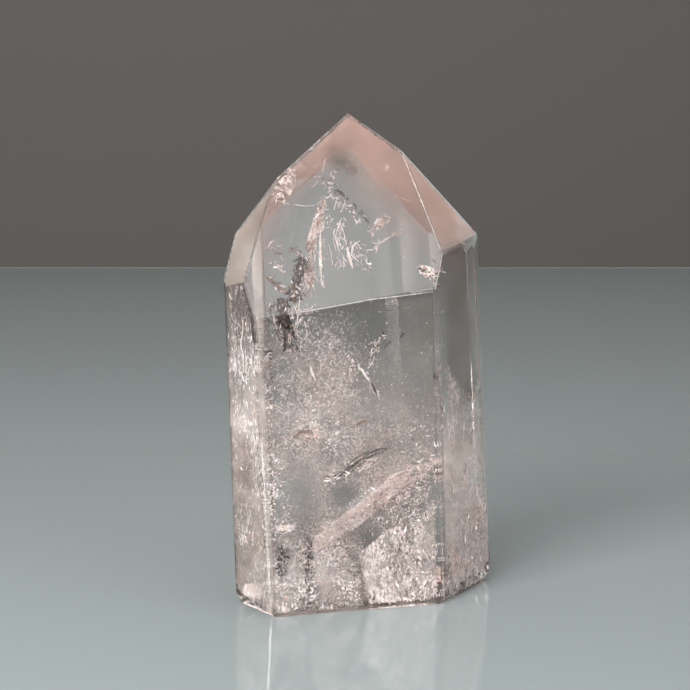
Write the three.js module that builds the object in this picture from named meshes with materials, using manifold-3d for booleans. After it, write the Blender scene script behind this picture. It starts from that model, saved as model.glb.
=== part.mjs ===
// Polished quartz tower: one clear crystal, ground to a column with seven flat sides, an off-centre point and a
// flat foot that it stands on. The column leans a little to the left.
// Millimetres, +Z up. The front is towards -Y, and the origin is in the middle of the foot, on the ground.
import * as THREE from "three";
import { mergeVertices } from "three/addons/utils/BufferGeometryUtils.js";
import Module from "manifold-3d";

// Driving dimensions.
const EDGE_WIDTH = 0.3; // the narrow flat that polishing leaves along every edge
const ROUGH_WIDTH = 60; // the rough piece that the facets are ground from
const ROUGH_HEIGHT = 90;
const WASTE = 220; // as large as any cut needs
const SAME_PLACE = 0.02; // corners closer to a facet than this lie on it

// A facet is turned by azimuth from the front towards the right, looks up by slope, both in degrees, and its
// plane lies at distance from the origin.
const SIDES = [
  { name: "front", azimuth: 15.6, slope: 2.4, distance: 12.4 },
  { name: "right front", azimuth: 57.7, slope: 2.6, distance: 15.0 },
  { name: "right", azimuth: 68.7, slope: 2.8, distance: 16.9 },
  { name: "right back", azimuth: 127.0, slope: 1.9, distance: 17.85 },
  { name: "back", azimuth: 212.0, slope: -2.1, distance: 7.25 },
  { name: "left back", azimuth: -113.8, slope: -1.7, distance: 12.85 },
  { name: "left", azimuth: -54.0, slope: -1.2, distance: 20.0 },
];

// The point has three large facets, two small ones between them, and a rounded right shoulder.
const POINT = [
  { name: "large front", azimuth: 12.3, slope: 24.9, distance: 28.3 },
  { name: "small right", azimuth: 53.7, slope: 28.8, distance: 35.2 },
  { name: "large right back", azimuth: 138.1, slope: 39.8, distance: 44.35 },
  { name: "large left back", azimuth: -115.8, slope: 35.2, distance: 42.05 },
  { name: "small left", azimuth: -52.0, slope: 30.3, distance: 41.85 },
  { name: "shoulder", azimuth: 97.0, slope: 19.9, distance: 34.2 },
];

// The foot is flat. All its edges but the front one are ground off at a slant.
const FOOT = [
  { name: "foot", azimuth: 0, slope: -90, distance: 0 },
  { name: "left slant", azimuth: -54.8, slope: -20.0, distance: 18.25 },
  { name: "left corner", azimuth: -88.0, slope: -30.0, distance: 15.1 },
  { name: "left back slant", azimuth: -113.0, slope: -33.0, distance: 10.65 },
  { name: "back slant", azimuth: 212.0, slope: -42.0, distance: 4.6 },
  { name: "right back slant", azimuth: 127.0, slope: -42.0, distance: 12.6 },
  { name: "right corner", azimuth: 86.0, slope: -36.5, distance: 14.4 },
  { name: "right corner side", azimuth: 88.0, slope: -13.0, distance: 18.5 },
  { name: "right front slant", azimuth: 59.4, slope: -14.0, distance: 14.25 },
];

// Small chips along the foot: shallow flakes knocked off an edge at a place, with the size of the flake, how
// deep it bites and its turn in degrees.
const CHIPS = [
  { place: [13.4, -7.1, 0.8], size: 2.2, bite: 0.22, turn: 20 },
  { place: [16.3, -2.4, 1.5], size: 2.8, bite: 0.3, turn: 75 },
  { place: [18.4, 1.8, 2.1], size: 2.4, bite: 0.3, turn: 130 },
  { place: [-17.3, -10.0, 1.7], size: 2.0, bite: 0.25, turn: 40 },
  { place: [-12.2, 1.2, 0.8], size: 2.6, bite: 0.3, turn: 100 },
  { place: [1.5, 10.2, 0.8], size: 2.4, bite: 0.3, turn: 10 },
  { place: [13.5, 13.6, 0.9], size: 2.0, bite: 0.3, turn: 60 },
];
const CHIP_STEPS = 1; // a flake has a few flat faces
const CHIP_FLATNESS = 0.6; // its height to its width

const COLOUR = 0xb9a8a0; // clear grey with a dusty pink haze
const ROUGHNESS = 0.05;

const wasm = await Module();
wasm.setup();

// A closed three.js shape as a solid that can be cut.
function solidFrom(geometry) {
  geometry.deleteAttribute("normal");
  geometry.deleteAttribute("uv");
  const merged = mergeVertices(geometry, 1e-4);
  const mesh = new wasm.Mesh({
    numProp: 3,
    vertProperties: merged.getAttribute("position").array,
    triVerts: new Uint32Array(merged.index.array),
  });
  return new wasm.Manifold(mesh);
}

// A solid as a three.js shape with flat faces.
function shapeFrom(solid) {
  const mesh = solid.getMesh();
  const shape = new THREE.BufferGeometry();
  shape.setAttribute("position", new THREE.BufferAttribute(mesh.vertProperties.slice(), 3));
  shape.setIndex(new THREE.BufferAttribute(mesh.triVerts.slice(), 1));
  const flat = shape.toNonIndexed();
  flat.computeVertexNormals();
  return flat;
}

function outward({ azimuth, slope }) {
  const turn = THREE.MathUtils.degToRad(azimuth);
  const rise = THREE.MathUtils.degToRad(slope);
  return new THREE.Vector3(
    Math.sin(turn) * Math.cos(rise),
    -Math.cos(turn) * Math.cos(rise),
    Math.sin(rise),
  );
}

// Grinds away all that lies beyond a plane.
function grind(stone, normal, distance) {
  const waste = new THREE.BoxGeometry(WASTE, WASTE, WASTE);
  waste.translate(0, 0, distance + WASTE / 2);
  waste.applyQuaternion(new THREE.Quaternion().setFromUnitVectors(new THREE.Vector3(0, 0, 1), normal));
  return stone.subtract(solidFrom(waste));
}

function cornersOf(stone) {
  const values = stone.getMesh().vertProperties;
  const corners = [];
  for (let i = 0; i < values.length; i += 3) {
    corners.push(new THREE.Vector3(values[i], values[i + 1], values[i + 2]));
  }
  return corners;
}

// The narrow flats along the edges: one wherever two facets share two corners, turned half way between them.
function edgeFlats(planes, corners) {
  const flats = [];
  planes.forEach((one, i) => {
    for (const other of planes.slice(i + 1)) {
      const shared = corners.filter((corner) =>
        [one, other].every((plane) => Math.abs(plane.normal.dot(corner) - plane.distance) < SAME_PLACE),
      );
      if (shared.length < 2) continue;
      const normal = one.normal.clone().add(other.normal).normalize();
      const halfAngle = one.normal.angleTo(other.normal) / 2;
      const depth = (EDGE_WIDTH / 2) * Math.tan(halfAngle);
      flats.push({ normal, distance: normal.dot(shared[0]) - depth });
    }
  });
  return flats;
}

// The flake that a knock takes, set so that it bites into the stone from outside.
function flake({ place, size, bite, turn }) {
  const piece = new THREE.IcosahedronGeometry(size, CHIP_STEPS);
  piece.rotateX(THREE.MathUtils.degToRad(turn));
  piece.scale(1, 1, CHIP_FLATNESS);
  piece.rotateZ(THREE.MathUtils.degToRad(turn));
  const outside = new THREE.Vector3(place[0], place[1], 0).normalize();
  const centre = new THREE.Vector3(...place).addScaledVector(outside, size - bite);
  piece.translate(centre.x, centre.y, centre.z);
  return solidFrom(piece);
}

function crystalShape() {
  const rough = new THREE.BoxGeometry(ROUGH_WIDTH, ROUGH_WIDTH, ROUGH_HEIGHT);
  rough.translate(0, 0, ROUGH_HEIGHT / 2 - 5);
  let stone = solidFrom(rough);

  const planes = [...SIDES, ...POINT, ...FOOT].map((facet) => ({
    normal: outward(facet),
    distance: facet.distance,
  }));
  for (const { normal, distance } of planes) stone = grind(stone, normal, distance);
  for (const { normal, distance } of edgeFlats(planes, cornersOf(stone))) {
    stone = grind(stone, normal, distance);
  }
  for (const chip of CHIPS) stone = stone.subtract(flake(chip));

  const shape = shapeFrom(stone);
  shape.computeBoundingBox();
  const middle = shape.boundingBox.getCenter(new THREE.Vector3());
  shape.translate(-middle.x, -middle.y, -shape.boundingBox.min.z);
  return shape;
}

const crystal = new THREE.Mesh(
  crystalShape(),
  new THREE.MeshStandardMaterial({ color: COLOUR, roughness: ROUGHNESS, metalness: 0 }),
);
crystal.name = "crystal";

const group = new THREE.Group();
group.add(crystal);

export default group;
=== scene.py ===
"""The look of a polished lithium quartz tower: clear stone that encloses veils, films and open cracks."""

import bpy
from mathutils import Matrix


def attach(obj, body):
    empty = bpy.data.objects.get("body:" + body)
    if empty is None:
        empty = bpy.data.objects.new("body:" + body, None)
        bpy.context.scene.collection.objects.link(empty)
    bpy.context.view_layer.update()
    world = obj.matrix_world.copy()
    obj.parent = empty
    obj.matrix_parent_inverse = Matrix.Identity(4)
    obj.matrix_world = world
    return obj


bl_info = {
    "name": "Quartz tower",
    "version": (1, 0, 0),
    "blender": (4, 5, 0),
    "location": "View3D > Sidebar > Quartz tower",
    "description": "Gives the quartz tower its clear stone and all that is enclosed in it",
    "category": "Object",
}

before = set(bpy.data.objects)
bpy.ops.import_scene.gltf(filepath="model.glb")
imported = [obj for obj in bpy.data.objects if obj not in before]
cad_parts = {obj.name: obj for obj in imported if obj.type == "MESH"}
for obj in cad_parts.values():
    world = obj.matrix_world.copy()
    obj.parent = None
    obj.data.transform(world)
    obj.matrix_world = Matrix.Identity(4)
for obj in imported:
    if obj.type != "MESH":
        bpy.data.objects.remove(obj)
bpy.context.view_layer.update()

import math
from collections import namedtuple

import bmesh
import bpy
import numpy as np
from mathutils import Vector
from mathutils.bvhtree import BVHTree

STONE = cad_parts["crystal"]
RIDES_ON = "root"
MM = 0.001

# The photograph's view: places on it are pixels of its 690 by 690 frame.
PHOTO_SIZE = 690
FOCAL_PIXELS = 2000
SENSOR = 36.0
CAMERA_PLACE = Vector((-0.002342, -0.287794, 0.081853))
CAMERA_TILT = math.radians(81)

QUARTZ_IOR = 1.544
SKIN = 0.15 * MM  # nothing enclosed comes closer to the surface
PIXEL = 0.145 * MM  # what a pixel of the photograph spans at the stone
STONE_MIDDLE = Vector((0, 0, 0.035))  # all lights face it

# The lights' places and sizes in metres.
KEY_PLACE, KEY_SIZE = Vector((-0.20, -0.38, 0.22)), 0.34
FRONT_PLACE, FRONT_SIZE = Vector((0.36, -0.24, 0.16)), 0.40
FILL_PLACE, FILL_SIZE = Vector((0.18, -0.34, 0.37)), 0.36
TOP_PLACE, TOP_SIZE = Vector((0.05, 0.02, 0.50)), 0.60
FLOOR_DROP = 0.02 * MM  # the floor lies this far under the foot, so that they don't flicker
CLIP_START = 0.005
BOUNCES, CLEAR_BOUNCES = 32, 64  # how often light is followed off and through stone, and through thin films


# Colours and shader nodes

def linear(hex_colour):
    """The linear red, green, blue and alpha of an sRGB hex colour."""
    values = [int(hex_colour[i:i + 2], 16) / 255 for i in (0, 2, 4)]
    return (*[v / 12.92 if v <= 0.04045 else ((v + 0.055) / 1.055) ** 2.4 for v in values], 1.0)


def add_node(material, kind, values=None, links=None, **settings):
    """Adds a shader node with its settings, its input values and the outputs that feed its inputs."""
    made = material.node_tree.nodes.new(kind)
    for name, value in settings.items():
        setattr(made, name, value)
    for name, value in (values or {}).items():
        made.inputs[name].default_value = value
    for name, output in (links or {}).items():
        material.node_tree.links.new(output, made.inputs[name])
    return made


def new_material(name, **values):
    """A material with only its principled shader, whose sockets get these values."""
    material = bpy.data.materials.new(name)
    material.use_nodes = True
    shader = material.node_tree.nodes["Principled BSDF"]
    for socket, value in values.items():
        shader.inputs[socket.replace("_", " ")].default_value = value
    return material, shader


def colour_ramp(material, factor, stops):
    """Colours between stops, each a position and an sRGB hex colour, as the factor goes from 0 to 1."""
    ramp = add_node(material, "ShaderNodeValToRGB", links={"Fac": factor})
    elements = ramp.color_ramp.elements
    for element, (position, colour) in zip(elements, stops):
        element.position, element.color = position, linear(colour)
    for position, colour in stops[2:]:
        elements.new(position).color = linear(colour)
    return ramp.outputs["Color"]


def maths(material, operation, *terms, clamp=False):
    """The result of a math node, whose terms are numbers or the outputs of other nodes."""
    values = {i: term for i, term in enumerate(terms) if isinstance(term, (int, float))}
    links = {i: term for i, term in enumerate(terms) if i not in values}
    made = add_node(material, "ShaderNodeMath", values, links, operation=operation, use_clamp=clamp)
    return made.outputs["Value"]


def noise(material, vector, size, detail, **values):
    """Noise whose bumps are this many millimetres across."""
    values = {"Scale": 1 / (size * MM), "Detail": detail, **values}
    return add_node(material, "ShaderNodeTexNoise", values, {"Vector": vector}).outputs["Fac"]


def stretched(material, value, low, high, least, most):
    """A value between low and high, brought between least and most."""
    values = {"From Min": low, "From Max": high, "To Min": least, "To Max": most}
    return add_node(material, "ShaderNodeMapRange", values, {"Value": value}).outputs["Result"]


def object_place(material):
    return add_node(material, "ShaderNodeTexCoord").outputs["Object"]


# Materials

def polished_quartz():
    """Rock crystal, ground and polished on all facets: glass-clear with sharp reflections. A trace of lithium
    and iron in it takes out green and blue, so that only the long ways through the stone look dusty pink."""
    material, _ = new_material(
        "polished_quartz", Base_Color=(1, 1, 1, 1), Roughness=0.0, IOR=QUARTZ_IOR, Transmission_Weight=1.0
    )
    tint = add_node(material, "ShaderNodeVolumeAbsorption", {"Color": linear("e6b5a2"), "Density": 10.0})
    output = material.node_tree.nodes["Material Output"]
    material.node_tree.links.new(tint.outputs["Volume"], output.inputs["Volume"])
    return material


def even_stops(colours):
    """Stops for a ramp that passes through the colours at equal steps, the two ends first."""
    stops = [(i / (len(colours) - 1), colour) for i, colour in enumerate(colours)]
    return [stops[0], stops[-1], *stops[1:-1]]


def fleck_material(name, colours, roughness, grain, metallic=0.0):
    """A fleck finish whose colour changes from fleck to fleck, over cells of the grain in millimetres."""
    material, shader = new_material(name, Roughness=roughness, Metallic=metallic)
    cells = add_node(
        material, "ShaderNodeTexVoronoi", {"Scale": 1 / (grain * MM)}, {"Vector": object_place(material)}
    )
    pick = add_node(material, "ShaderNodeSeparateColor", links={"Color": cells.outputs["Color"]})
    colour = colour_ramp(material, pick.outputs["Red"], even_stops(colours))
    material.node_tree.links.new(colour, shader.inputs["Base Color"])
    return material


def milky_fluid():
    """Fluid-filled specks of a healed crack: they scatter nearly all light, so they look white."""
    return fleck_material("milky_fluid", ["c9bfba", "efe8e4", "ddd3ce"], 0.5, 0.3)


def rosy_fluid():
    """Specks with lithium mica in them: pale dusty pink and lilac."""
    return fleck_material("rosy_fluid", ["c9b0a6", "ddcbc3", "c6bbc0"], 0.6, 0.4)


def smoky_specks():
    """Specks that turn the light away from the eye: brown-grey, and darkest where they are steep."""
    return fleck_material("smoky_specks", ["4a3f3a", "7a6e67", "332a27"], 0.4, 0.3)


def glinting_specks():
    """Flat air-filled specks: small mirrors that flash wherever one faces the light."""
    return fleck_material("glinting_specks", ["ffffff", "fff4ec"], 0.3, 0.3, metallic=0.9)


def film_attribute(material, name):
    return add_node(material, "ShaderNodeAttribute", attribute_name=name).outputs["Fac"]


def film_colour(material, shader, colours, vector, *mottles):
    """The film's tone as a colour, with mottles that each have a size in millimetres and a swing."""
    tone = film_attribute(material, "tone")
    for size, swing in mottles:
        mottle = noise(material, vector, size, 3.0)
        tone = maths(material, "ADD", tone, stretched(material, mottle, 0.3, 0.7, -swing, swing))
    colour = colour_ramp(material, tone, even_stops(colours))
    material.node_tree.links.new(colour, shader.inputs["Base Color"])


THREAD_WIDTH, THINNEST_THREAD = 0.04, 0.0005  # of the noise's height, where the cover is full and none
# Grains show where their noise and this share of the cover together pass the level, with this contrast.
GRAIN_COVER, GRAIN_LEVEL, GRAIN_CONTRAST = 0.45, 0.72, 9.0


def thready_film(name, colours, spacing, grain=0.35, stretch=(1, 1, 1), haze=0.2, roughness=0.7):
    """A sheet of specks too fine to model one by one: threads this many millimetres apart, grains of this
    size and haze between them. Its cover makes all of them denser; its tone goes through the colours."""
    material, shader = new_material(name, Roughness=roughness)
    place = object_place(material)
    vector = add_node(material, "ShaderNodeMapping", {"Scale": stretch}, {"Vector": place}).outputs["Vector"]
    cover = film_attribute(material, "cover")

    waves = noise(material, vector, spacing, 4.0, Roughness=0.6, Distortion=0.8)
    ridge = maths(material, "ABSOLUTE", maths(material, "SUBTRACT", waves, 0.5))
    reach = maths(material, "MULTIPLY_ADD", cover, THREAD_WIDTH, THINNEST_THREAD)
    threads = stretched(material, maths(material, "DIVIDE", ridge, reach), 0.25, 1.0, 1.0, 0.0)

    level = maths(material, "MULTIPLY_ADD", cover, GRAIN_COVER, -GRAIN_LEVEL)
    above = maths(material, "ADD", noise(material, vector, grain, 2.0), level)
    spots = maths(material, "MULTIPLY", above, GRAIN_CONTRAST, clamp=True)

    cloud = noise(material, vector, 2 * spacing, 5.0, Roughness=0.7)
    mist = maths(material, "MULTIPLY", stretched(material, cloud, 0.35, 0.7, 0.0, 2 * haze), cover)

    alpha = maths(material, "MAXIMUM", maths(material, "MAXIMUM", threads, spots), mist, clamp=True)
    material.node_tree.links.new(alpha, shader.inputs["Alpha"])
    film_colour(material, shader, colours, vector, (spacing * 2.5, 0.35), (grain * 1.3, 0.5))
    return material


SMOKY_TO_ROSY = ["6a605a", "cdc4bf", "f6f1ee", "f3eae6", "e4ccc2"]


def milky_film():
    """Healed cracks: threads and clouds of tiny fluid pockets, from smoky through milky to dusty pink."""
    return thready_film("milky_film", SMOKY_TO_ROSY, 1.9, haze=0.35)


def streaky_film():
    """Growth channels along the sides of the stone: upright white threads."""
    return thready_film("streaky_film", SMOKY_TO_ROSY, 1.8, stretch=(1, 1, 0.45), haze=0.5)


def haze_film(name, colours, grain):
    """A smooth cloud with no threads in it; its cover is its density."""
    material, shader = new_material(name, Roughness=0.9)
    place = object_place(material)
    share = stretched(material, noise(material, place, grain, 2.0), 0.2, 0.8, 0.9, 1.0)
    alpha = maths(material, "MULTIPLY", share, film_attribute(material, "cover"))
    material.node_tree.links.new(alpha, shader.inputs["Alpha"])
    film_colour(material, shader, colours, place, (grain, 0.1))
    return material


def rosy_haze():
    """A cloud of lithium mica too fine to tell apart: an even dusty pink."""
    return haze_film("rosy_haze", ["8e7166", "b48f82", "d6b3a6"], 7.0)


def pale_haze():
    """The same cloud where it is thin and well lit: a pale, milky pink."""
    return haze_film("pale_haze", ["85746b", "a1968d", "f0e5de"], 5.0)


def smoky_haze_and_painted_shade():
    """A breath of smoky colour in the stone, and the painted shade far behind the body: a thin, even brown.
    """
    return haze_film("smoky_haze_and_painted_shade", ["54402f", "64513f", "4c3a2b"], 5.0)


def foil_crack():
    """The largest air-filled crack: an upright crumpled foil that mirrors white and shadow side by side."""
    colours = ["554a45", "a3968f", "e6dad5", "fbf4f2", "d8c6c3"]
    return thready_film("foil_crack", colours, 1.2, grain=0.3, stretch=(1, 1, 0.55), haze=0.8, roughness=0.5)


def copper_crack():
    """A crack with a breath of iron oxide: it mirrors rose gold and cream."""
    colours = ["8a6a5c", "d9bfb3", "ffffff", "f0ddd3"]
    return thready_film("copper_crack", colours, 0.9, grain=0.3, haze=0.6, roughness=0.4)


def feathery_crack():
    """Healed feathers of mica and fluid side by side: pale pink, without gloss."""
    colours = ["b8a096", "f0ddd5", "ffffff", "f2dcd3"]
    return thready_film("feathery_crack", colours, 1.2, grain=0.3, haze=0.7)


def white_thread_and_highlight():
    """The bright rim of a crack: it scatters white. It also paints the highlights of the polished facet
    edges.
    """
    return fleck_material("white_thread_and_highlight", ["efe8e4", "d9cfca"], 0.5, 0.5)


def dark_crack():
    """A crack that mirrors the unlit side of the stone: brown to black."""
    return fleck_material("dark_crack", ["1a1412", "322824", "0e0b0a"], 0.6, 0.4)


def rusty_crack():
    """A crack stained by iron: orange-brown."""
    return fleck_material("rusty_crack", ["7a5f53", "5d483e", "94776a"], 0.5, 0.4)


def blue_flash():
    """A gap as thin as light waves are long: it takes on their blue and violet."""
    return fleck_material("blue_flash", ["a9c6e8", "c9c0ea", "b7e0e0"], 0.25, 0.4, metallic=0.6)


def pale_marble():
    """Honed pale marble: cool grey-green with a soft gloss."""
    return new_material("pale_marble", Base_Color=linear("6f7777"), Roughness=0.04, IOR=1.66)[0]


def matt_wall():
    """Matt grey-brown paint."""
    return new_material("matt_wall", Base_Color=linear("403d3b"), Roughness=0.9)[0]


# Places in the stone

def tree_of(stone):
    """The stone's surface, for finding where a line of sight meets it."""
    bm = bmesh.new()
    bm.from_mesh(stone.data)
    tree = BVHTree.FromBMesh(bm)
    bm.free()
    return tree


SURFACE = tree_of(STONE)


def line_of_sight(px, py):
    """The direction from the camera through a place on the photograph."""
    x = (px - PHOTO_SIZE / 2) / FOCAL_PIXELS
    y = (PHOTO_SIZE / 2 - py) / FOCAL_PIXELS
    drop = math.pi / 2 - CAMERA_TILT
    ahead, up = math.cos(drop) + y * math.sin(drop), y * math.cos(drop) - math.sin(drop)
    return Vector((x, ahead, up)).normalized()


def bent_in(direction, normal):
    """A direction of travel after it has entered the stone through a facet."""
    facing = -direction.dot(normal)
    slant = math.sqrt(1 - (1 - facing ** 2) / QUARTZ_IOR ** 2)
    return direction / QUARTZ_IOR + normal * (facing / QUARTZ_IOR - slant)


def inside(px, py, depth, skin=SKIN):
    """The point in the stone that the photograph shows at a pixel, this many millimetres behind the facet
    that it is seen through, and how far the far side is behind it. None where it isn't in the stone."""
    sight = line_of_sight(px, py)
    place, normal, _, _ = SURFACE.ray_cast(CAMERA_PLACE, sight)
    if place is None:
        return None
    bent = bent_in(sight, normal)
    start = place + bent * SKIN / 2
    far_side = SURFACE.ray_cast(start, bent)[3]
    point = start + bent * depth * MM
    if far_side is None or depth * MM > far_side - skin or SURFACE.find_nearest(point)[3] < skin:
        return None
    return *point, far_side - depth * MM


def all_inside(pixels, depths, skin=SKIN):
    """The points of many pixels and depths with the room behind them, and which of them are in the stone."""
    found = [inside(px, py, depth, skin) for (px, py), depth in zip(pixels, depths)]
    kept = np.array([point is not None for point in found], bool)
    rows = np.array([point for point in found if point is not None]).reshape(-1, 4)
    return rows[:, :3], rows[:, 3], kept


def is_enclosed(point):
    """Whether a point lies under the surface of the stone."""
    place, normal, _, _ = SURFACE.find_nearest(Vector(point))
    return (Vector(point) - place).dot(normal) < -SKIN / 3


def mirror_normals(px, py):
    """How a gap seen at this pixel must lie to mirror a light to the eye, and how its facet lies."""
    sight = line_of_sight(px, py)
    place, normal, _, _ = SURFACE.ray_cast(CAMERA_PLACE, sight)
    if place is None:
        return None
    light = (place - (FRONT_PLACE if normal.x > 0.5 else KEY_PLACE)).normalized()
    return -(bent_in(sight, normal) + bent_in(light, normal)).normalized(), normal


LATTICE_CELLS = 256
LATTICE = np.random.RandomState(7).rand(LATTICE_CELLS, LATTICE_CELLS)
SEED_SHIFT = (17.3, 31.7)  # cells that each seed moves the noise by, to the right and down


def soft_noise(x, y, cell, seed):
    """Smooth noise from 0 to 1 over the photograph, with bumps of about this many pixels."""
    u, v = np.asarray(x) / cell + SEED_SHIFT[0] * seed, np.asarray(y) / cell + SEED_SHIFT[1] * seed
    i, j = np.floor(u).astype(int), np.floor(v).astype(int)
    s, t = u - i, v - j
    s, t = s * s * (3 - 2 * s), t * t * (3 - 2 * t)
    i0, j0, i1, j1 = [k % LATTICE_CELLS for k in (i, j, i + 1, j + 1)]
    low = LATTICE[i0, j0] * (1 - s) + LATTICE[i1, j0] * s
    high = LATTICE[i0, j1] * (1 - s) + LATTICE[i1, j1] * s
    return low * (1 - t) + high * t


def rough_noise(x, y, cell, seed, octaves=3):
    """Noise with finer bumps on the coarse ones."""
    total = sum(soft_noise(x, y, cell / 2 ** k, seed + k) / 2 ** k for k in range(octaves))
    return total / sum(1 / 2 ** k for k in range(octaves))


def edges_of(outline):
    corners = np.array(outline, float)
    return zip(corners, np.roll(corners, -1, 0))


def in_outline(x, y, outline):
    """Which of many places lie inside an outline of corners."""
    result = np.zeros(len(x), bool)
    for (x0, y0), (x1, y1) in edges_of(outline):
        crosses = (y0 > y) != (y1 > y)
        with np.errstate(divide="ignore", invalid="ignore"):
            result ^= crosses & (x < (x1 - x0) * (y - y0) / (y1 - y0) + x0)
    return result


def from_border(x, y, outline):
    """How many pixels many places are from the border of an outline."""
    nearest = np.full(len(x), 1e9)
    for start, end in edges_of(outline):
        side = end - start
        part = np.clip(((x - start[0]) * side[0] + (y - start[1]) * side[1]) / side.dot(side), 0, 1)
        nearest = np.minimum(nearest, np.hypot(x - start[0] - part * side[0], y - start[1] - part * side[1]))
    return nearest


Blot = namedtuple("Blot", "x y wide high turn strength")  # a soft oval on the photograph, turned in degrees
BLOT_RIM = 1.4  # the higher, the steeper its rim
WAVE_LENGTH = 70  # pixels from one wave of a sheet to the next


def blotted(x, y, blots, base=0.0):
    """The sum of soft ovals at many places."""
    total = np.full(len(x), float(base))
    for blot in blots:
        turn = math.radians(blot.turn)
        u = ((x - blot.x) * math.cos(turn) + (y - blot.y) * math.sin(turn)) / blot.wide
        v = ((y - blot.y) * math.cos(turn) - (x - blot.x) * math.sin(turn)) / blot.high
        total += blot.strength * np.exp(-(u * u + v * v) ** BLOT_RIM)
    return total


def sheet_depth(sheet, x, y, seed):
    """How deep a tilted and waving sheet lies at many places, in millimetres."""
    middle = np.array(sheet.outline, float).mean(0)
    depth = sheet.depth + sheet.tilt[0] * (x - middle[0]) / 100 + sheet.tilt[1] * (y - middle[1]) / 100
    return np.maximum(depth + sheet.wave * 2 * (2 * rough_noise(x, y, WAVE_LENGTH, seed) - 1), SKIN / MM)


# Flecks

Veil = namedtuple("Veil", "outline depth tilt wave count size stretch lean shares patch blots base")
# outline: corners on the photograph. depth: millimetres at its middle. tilt: how much deeper it gets per 100
# pixels to the right and down. wave: how far it swings either way. size: the smallest and largest fleck in
# millimetres. stretch: their length to their width. lean: degrees from upright, and how much that varies.
# shares: of milky, rosy, smoky and glinting flecks. patch: pixels across its denser patches. blots and base:
# where it is denser, or thinner with a negative strength.

SPLINTER = np.array([(1, 0, 0), (-0.6, 0.8, 0), (-0.6, -0.8, 0), (0, 0, 0.1)])  # flat, with four corners
SPLINTER_FACES = np.array([(0, 2, 1), (0, 1, 3), (1, 2, 3), (2, 0, 3)])
FLECK_SKIN = 0.4 * MM  # a fleck's middle comes no closer to the surface
GLINTING = 3  # the place of the glinting finish in a veil's shares
PATCH_SEED = 59  # all veils and films of the body are dense in the same patches
TRIES = 8  # places looked at for each fleck that is wanted
BARE, FULL = 0.38, 0.63  # patches hold no flecks below the first level of noise, and all above the second
SCATTER = 0.3  # millimetres that flecks and slivers stray from their sheet
RARITY = 2.5  # the higher, the rarer the large flecks
LIFT = 0.35  # how far flecks and slivers turn out of their sheet
AIM = 0.07  # how far a glinting fleck strays from the turn that mirrors a light


def finish_piece(piece, materials, body=RIDES_ON):
    """Gives a piece its materials and the body that it rides on."""
    for material in materials:
        piece.data.materials.append(material)
    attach(piece, body)
    return piece


def mesh_piece(name, vertices, faces, kinds):
    """A new object of many small shapes; the kind of each face is the place of its material."""
    mesh = bpy.data.meshes.new(name)
    mesh.from_pydata(vertices.tolist(), [], faces.tolist())
    mesh.polygons.foreach_set("material_index", kinds.astype(np.int32))
    mesh.update()
    piece = bpy.data.objects.new(name, mesh)
    bpy.context.scene.collection.objects.link(piece)
    return piece


def between(ends, share):
    """The value that lies this share of the way from the first end to the second."""
    return ends[0] + (ends[1] - ends[0]) * share


def picked_kinds(random, shares, count):
    """Kinds drawn at random, each as often as its share says."""
    return random.choice(len(shares), count, p=np.array(shares) / sum(shares))


def veil_flecks(veil, amount, seed):
    """Places, sizes, lengthwise directions and kinds of one veil's flecks."""
    random = np.random.RandomState(seed)
    corners = np.array(veil.outline, float)
    low, high = corners.min(0), corners.max(0)
    wanted = int(veil.count * amount)
    x, y = (random.rand(wanted * TRIES, 2) * (high - low) + low).T
    patches = np.clip((rough_noise(x, y, veil.patch, PATCH_SEED) - BARE) / (FULL - BARE), 0, 1)
    chance = patches * blotted(x, y, veil.blots, veil.base)
    keep = in_outline(x, y, veil.outline) & (random.rand(len(x)) < chance)
    x, y = x[keep][:wanted], y[keep][:wanted]
    depth = sheet_depth(veil, x, y, seed + 5) + random.randn(len(x)) * SCATTER
    points, _, kept = all_inside(np.stack([x, y], 1), depth, FLECK_SKIN)
    x, y, count = x[kept], y[kept], len(points)
    size = between(veil.size, random.rand(count) ** RARITY)
    lean = np.radians(veil.lean[0] + veil.lean[1] * random.randn(count))
    along = np.stack([np.sin(lean), random.randn(count) * LIFT, np.cos(lean)], 1)
    kind = picked_kinds(random, veil.shares, count)
    across = np.cross(along, random.randn(count, 3))
    for i in np.flatnonzero(kind == GLINTING):
        flat = mirror_normals(x[i], y[i])[0] + Vector(random.randn(3) * AIM)
        across[i] = np.cross(along[i], np.array(flat))
    return points, size, along, across, np.full(count, veil.stretch), kind


def fleck_piece(name, veils, amount, seed, materials):
    """All the flecks of some veils as one piece."""
    parts = [veil_flecks(veil, amount, seed + 100 * i) for i, veil in enumerate(veils)]
    points, size, along, across, stretch, kind = [np.concatenate(column) for column in zip(*parts)]
    across /= np.linalg.norm(across, axis=1)[:, None]
    up = np.cross(along, across)
    up /= np.linalg.norm(up, axis=1)[:, None]
    along = np.cross(across, up)
    length, width = size / 2 * MM * np.sqrt(stretch), size / 2 * MM / np.sqrt(stretch)
    spread = [along * length[:, None], across * width[:, None], up * width[:, None]]
    vertices = points[:, None] + sum(SPLINTER[None, :, k, None] * spread[k][:, None] for k in range(3))
    held = np.array([all(is_enclosed(corner) for corner in corners) for corners in vertices])
    vertices, kind = vertices[held], kind[held]
    faces = SPLINTER_FACES[None] + 4 * np.arange(len(vertices))[:, None, None]
    kinds = np.repeat(kind, len(SPLINTER_FACES))
    piece = mesh_piece(name, vertices.reshape(-1, 3), faces.reshape(-1, 3), kinds)
    print(name, len(vertices), "flecks")
    return finish_piece(piece, materials)


# Films

Film = namedtuple("Film", "outline depth tilt wave base blots tones patch fade")
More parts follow.
